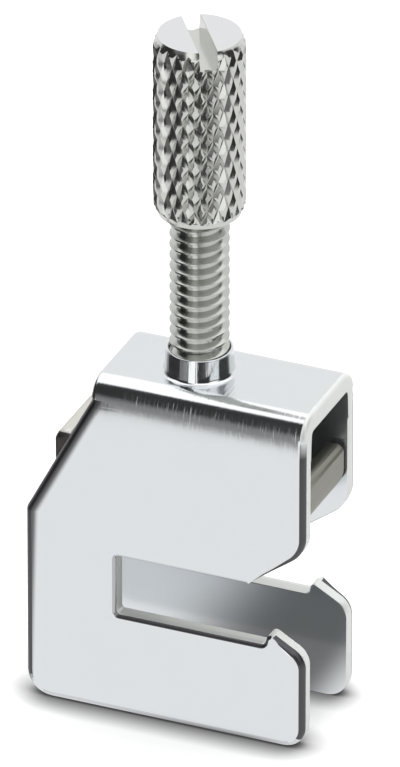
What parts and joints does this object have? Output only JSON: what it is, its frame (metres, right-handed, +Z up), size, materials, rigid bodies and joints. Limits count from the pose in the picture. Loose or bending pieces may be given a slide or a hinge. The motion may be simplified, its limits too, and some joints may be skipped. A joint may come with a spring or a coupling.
{
  "type": "shield connection clamp",
  "caption": "Folded steel bracket that hooks on a busbar, with a knurled slotted screw that lowers a pressure plate onto a cable shield between its side plates.",
  "frame": {"origin": "middle of the feet: the centre of the bounding box at the height of the surface that the clamp stands on", "axes": "+Z up along the screw, +X along the cable towards the open end of the busbar slot, +Y across the side plates"},
  "size_m": [0.02, 0.0088, 0.0496],
  "materials": {
    "plated_sheet": "bright plated steel sheet",
    "plated_screw": "plated turned steel, knurled",
    "plated_strip": "dull plated steel strip"
  },
  "bodies": {
    "frame": {"clamp_frame": "plated_sheet"},
    "plate": {"pressure_plate": "plated_strip"},
    "screw": {"knurled_screw": "plated_screw"}
  },
  "joints": [
    {"name": "plate_travel", "type": "slide", "parent": "frame", "child": "plate", "axis": [0, 0, 1], "range_m": [-0.01005, 0.00372]},
    {"name": "screw_turn", "type": "hinge", "parent": "plate", "child": "screw", "pos_m": [0.0007, 0, 0.03], "axis": [0, 0, 1], "range_deg": [-4525, 1677]}
  ],
  "couplings": [
    {"joint": "screw_turn", "follows": "plate_travel", "rad_per_m": 7854}
  ]
}
